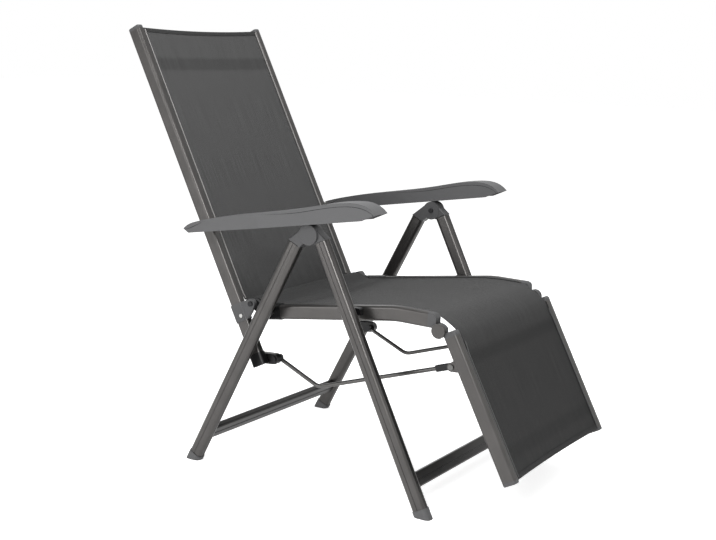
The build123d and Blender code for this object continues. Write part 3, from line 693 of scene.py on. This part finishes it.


# The fine line round each armrest's sides is painted shade: its floor, where the groove lies in shade, is copied
# from the armrest as a thin black skin
partingShade = {
    "inner": 279.0,                # the armrest's faces, across the chair
    "outer": 331.0,
    "rearOuter": 315.0,
    "rearEnd": -21.0,              # its rear end, the start of its full width and its nose, forward
    "fullWidth": 219.0,
    "noseEnd": 546.0,
    "deep": 0.8,
    "near": 0.25,                  # a face this near to that depth is the line's floor
    "steep": 0.2,                  # and its normal rises or falls no more than this
    "thickness": 0.3,
    "weld": 0.01,
}


def inPartingShade(centre, normal):
    # whether a face of the armrest, by its middle and normal, is the floor of the fine line round its sides, which
    # is painted shade
    across, forward = abs(centre.x) * 1000.0, drawing["shift"] - centre.y * 1000.0
    if abs(normal.z) > partingShade["steep"]:
        return False
    share = min(max((forward - partingShade["rearEnd"]) / (partingShade["fullWidth"] - partingShade["rearEnd"]), 0.0), 1.0)
    outer = partingShade["rearOuter"] + (partingShade["outer"] - partingShade["rearOuter"]) * share
    depths = (outer - across, across - partingShade["inner"], partingShade["noseEnd"] - forward)
    return any(abs(depth - partingShade["deep"]) < partingShade["near"] for depth in depths)


def armPartingShade(side):
    name = "armPartingShade_" + side
    piece = frame["nodes"]["armrest_" + side].copy()
    piece.data = piece.data.copy()
    scene.collection.objects.link(piece)
    pick(piece)
    bpy.ops.object.mode_set(mode="EDIT")
    bpy.ops.mesh.select_all(action="SELECT")
    bpy.ops.mesh.remove_doubles(threshold=partingShade["weld"] / 1000.0)
    bpy.ops.mesh.select_all(action="DESELECT")
    bpy.ops.object.mode_set(mode="OBJECT")
    bpy.context.tool_settings.mesh_select_mode = (False, False, True)
    for face in piece.data.polygons:
        face.select = not inPartingShade(face.center, face.normal)
    bpy.ops.object.mode_set(mode="EDIT")
    bpy.ops.mesh.delete(type="FACE")
    bpy.ops.object.mode_set(mode="OBJECT")
    thicken(piece, partingShade["thickness"], offset=1.0)
    print(name, len(piece.data.polygons), "faces")
    # painted shade: the groove's floor as a black skin
    dress(piece, name, blackPlastic)
    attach(piece, "arm_" + side)


for side in ("left", "right"):
    armPartingShade(side)


# The camera as fitted to the photograph
view = {
    "position": (-2.65922, -1.97342, 1.06695),    # Y is from the rear feet, forward negative
    "forward": (0.83173, 0.52483, -0.18103),
    "roll": 1.79,
    "focal": 1244.77,              # in pixels of a 716 pixel wide frame
    "width": 716.0,
    "sensor": 36.0,
    "far": 100.0,
}


def addCamera():
    forward = Vector(view["forward"]).normalized()
    right = forward.cross(Vector((0, 0, 1))).normalized()
    up = right.cross(forward)
    roll = math.radians(view["roll"])
    right, up = right * math.cos(roll) + up * math.sin(roll), up * math.cos(roll) - right * math.sin(roll)
    bpy.ops.object.camera_add()
    camera = bpy.context.object
    position = Vector(view["position"]) + Vector((0, drawing["shift"] / 1000.0, 0))
    turn = Matrix((right, up, -forward)).transposed().to_4x4()
    camera.matrix_world = Matrix.Translation(position) @ turn
    camera.data.sensor_width = view["sensor"]
    camera.data.lens = view["focal"] * view["sensor"] / view["width"]
    camera.data.clip_end = view["far"]
    scene.camera = camera


deselectAll()
addCamera()

# Soft boxes round the chair, with places and sizes in metres and power in watts, all aimed at its middle
aim = (0.0, 0.0, 0.5)
lamps = {
    "side light": {"at": (-3.0, -1.2, 1.7), "size": (0.6, 1.6), "power": 75.0},
    "left light": {"at": (-2.6, 1.5, 1.0), "size": (0.7, 1.6), "power": 22.0},
    "top light": {"at": (-0.3, -0.3, 3.0), "size": (1.6, 1.6), "power": 66.0},
    "front light": {"at": (0.2, -3.4, 1.6), "size": (1.4, 1.8), "power": 14.0},
    "back light": {"at": (1.5, 3.0, 2.4), "size": (2.4, 1.6), "power": 20.0},
}


def addLamp(name, settings):
    bpy.ops.object.light_add(type="AREA", location=settings["at"])
    lamp = bpy.context.object
    lamp.name = name
    lamp.data.shape = "RECTANGLE"
    lamp.data.size, lamp.data.size_y = settings["size"]
    lamp.data.energy = settings["power"]
    lamp.rotation_euler = (Vector(aim) - Vector(settings["at"])).to_track_quat("-Z", "Y").to_euler()


for name, settings in lamps.items():
    addLamp(name, settings)

studio = {
    "light": 0.42,                 # the world's strength on the chair
    "floorGlow": 0.6,              # added to the floor as it is seen, so that it turns white and keeps a shadow
    "floorSize": 40.0,             # in metres
}


def seenRays(tree):
    # what the camera, a mirror or glass sees is plain white; light on the object comes from the rest
    path = addNode(tree, "ShaderNodeLightPath")
    first = addNode(tree, "ShaderNodeMath", {"operation": "MAXIMUM"},
                    {"in0": (path, "Is Camera Ray"), "in1": (path, "Is Glossy Ray")})
    return addNode(tree, "ShaderNodeMath", {"operation": "MAXIMUM"},
                   {"in0": (first, "Value"), "in1": (path, "Is Transmission Ray")})


def setWorld():
    world = bpy.data.worlds.new("studio")
    scene.world = world
    world.use_nodes = True
    tree = world.node_tree
    tree.nodes.clear()
    seen = seenRays(tree)
    light = addNode(tree, "ShaderNodeBackground", {"Color": linear("#FFFFFF"), "Strength": studio["light"]})
    white = addNode(tree, "ShaderNodeBackground", {"Color": linear("#FFFFFF"), "Strength": 1.0})
    mix = addNode(tree, "ShaderNodeMixShader", {}, {"in0": (seen, "Value"), "in1": (light, "Background"),
                                                    "in2": (white, "Background")})
    addNode(tree, "ShaderNodeOutputWorld", {}, {"Surface": (mix, "Shader")})


setWorld()


def addFloor():
    bpy.ops.mesh.primitive_plane_add(size=studio["floorSize"], location=(0, 0, 0))
    floor = bpy.context.object
    floor.name = "floor"
    material, tree, shader, _ = newMaterial("pale floor", {"Base Color": linear("#FFFFFF"), "Roughness": 1.0})
    output = [n for n in tree.nodes if n.type == "OUTPUT_MATERIAL"][0]
    glow = addNode(tree, "ShaderNodeEmission", {"Color": linear("#FFFFFF"), "Strength": studio["floorGlow"]})
    both = addNode(tree, "ShaderNodeAddShader", {}, {"in0": (shader, "BSDF"), "in1": (glow, "Emission")})
    seen = seenRays(tree)
    mix = addNode(tree, "ShaderNodeMixShader", {}, {"in0": (seen, "Value"), "in1": (shader, "BSDF"),
                                                    "in2": (both, "Shader")})
    tree.links.new(mix.outputs["Shader"], output.inputs["Surface"])
    floor.data.materials.append(material)


addFloor()
scene.view_settings.view_transform = "Standard"
print("camera, light and floor done")
